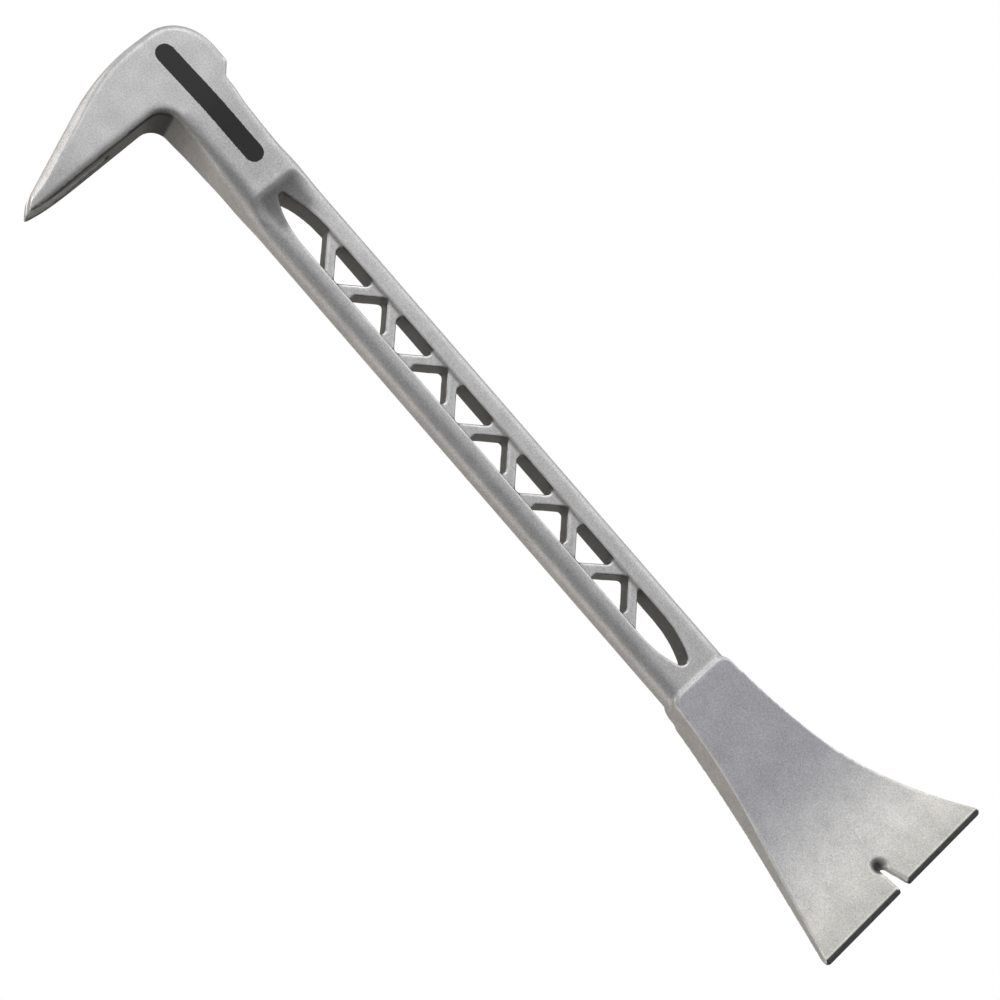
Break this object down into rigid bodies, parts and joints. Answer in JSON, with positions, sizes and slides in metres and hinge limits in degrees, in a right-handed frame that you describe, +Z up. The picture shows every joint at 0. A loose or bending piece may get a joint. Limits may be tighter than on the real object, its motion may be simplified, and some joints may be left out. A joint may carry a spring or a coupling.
{
  "type": "pry bar",
  "caption": "One-piece flat pry bar with a curled flared blade, a strut web shank, a striking pad and a nail-pulling claw.",
  "frame": {"origin": "middle of the bar's footprint, on the surface that its head lies on", "axes": "+X along the shank from the claw to the blade's edge, +Y towards the striking pad, +Z up, the way the blade curls"},
  "size_m": [0.3054, 0.089, 0.0252],
  "materials": {
    "cast_titanium": "bead-blasted titanium, satin light grey"
  },
  "bodies": {
    "root": {"striking_pad": "cast_titanium", "head_block": "cast_titanium", "claw_arm": "cast_titanium", "claw_tine_left": "cast_titanium", "claw_tine_right": "cast_titanium", "neck": "cast_titanium", "head_bridge": "cast_titanium", "back_rail": "cast_titanium", "belly_rail": "cast_titanium", "blade_bridge": "cast_titanium", "web_strut_01": "cast_titanium", "web_strut_02": "cast_titanium", "web_strut_03": "cast_titanium", "web_strut_04": "cast_titanium", "web_strut_05": "cast_titanium", "web_strut_06": "cast_titanium", "web_strut_07": "cast_titanium", "web_strut_08": "cast_titanium", "web_strut_09": "cast_titanium", "web_strut_10": "cast_titanium", "web_strut_11": "cast_titanium", "blade_root": "cast_titanium", "blade_body": "cast_titanium", "blade_edge_left": "cast_titanium", "blade_edge_right": "cast_titanium"}
  },
  "joints": []
}
